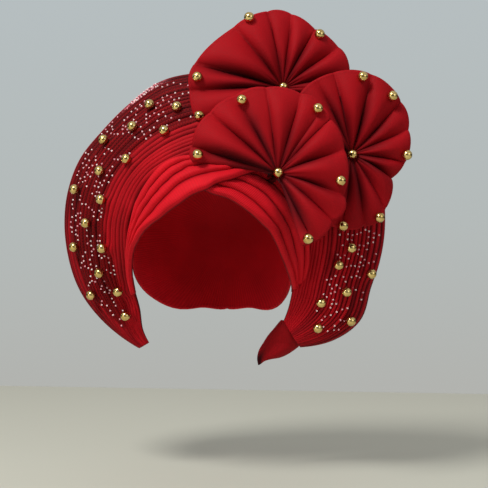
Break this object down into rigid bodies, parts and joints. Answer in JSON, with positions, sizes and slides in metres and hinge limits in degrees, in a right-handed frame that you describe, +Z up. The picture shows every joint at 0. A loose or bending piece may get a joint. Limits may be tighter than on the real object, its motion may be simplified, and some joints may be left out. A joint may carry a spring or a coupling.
{
  "type": "tied gele head tie",
  "caption": "Ready-tied gele: a turban wrapped in crossing folds, a pleated halo wing, gathered fan rosettes, a short tie end and gold beads.",
  "frame": {"origin": "inside of the crown, where the top of the head sits", "axes": "+X to the right seen from the front, -Y to the front, +Z up; the head enters along +Z from below"},
  "size_m": [0.3236, 0.1943, 0.317],
  "materials": {
    "turban_cloth": "bright red ribbed cloth with a soft sheen",
    "wing_cloth": "deep red pleated cloth, netted and stoned in its middle",
    "rosette_cloth": "red twill cloth, gathered",
    "gold_bead": "polished gold-coloured"
  },
  "bodies": {
    "root": {"cap": "turban_cloth", "wrap_left": "turban_cloth", "wrap_right": "turban_cloth", "pleated_wing": "wing_cloth", "tie_end": "turban_cloth", "rosette_front": "rosette_cloth", "rosette_top": "rosette_cloth", "rosette_right": "rosette_cloth", "bead_01": "gold_bead", "bead_02": "gold_bead", "bead_03": "gold_bead", "bead_04": "gold_bead", "bead_05": "gold_bead", "bead_06": "gold_bead", "bead_07": "gold_bead", "bead_08": "gold_bead", "bead_09": "gold_bead", "bead_10": "gold_bead", "bead_11": "gold_bead", "bead_12": "gold_bead", "bead_13": "gold_bead", "bead_14": "gold_bead", "bead_15": "gold_bead", "bead_16": "gold_bead", "bead_17": "gold_bead", "bead_18": "gold_bead", "bead_19": "gold_bead", "bead_20": "gold_bead", "bead_21": "gold_bead", "bead_22": "gold_bead", "bead_23": "gold_bead", "bead_24": "gold_bead", "bead_25": "gold_bead", "bead_26": "gold_bead", "bead_27": "gold_bead", "bead_28": "gold_bead", "bead_29": "gold_bead", "bead_30": "gold_bead", "bead_31": "gold_bead", "bead_32": "gold_bead", "bead_33": "gold_bead", "bead_34": "gold_bead", "bead_35": "gold_bead", "bead_36": "gold_bead", "bead_37": "gold_bead", "bead_38": "gold_bead", "bead_39": "gold_bead", "bead_40": "gold_bead"}
  },
  "joints": []
}
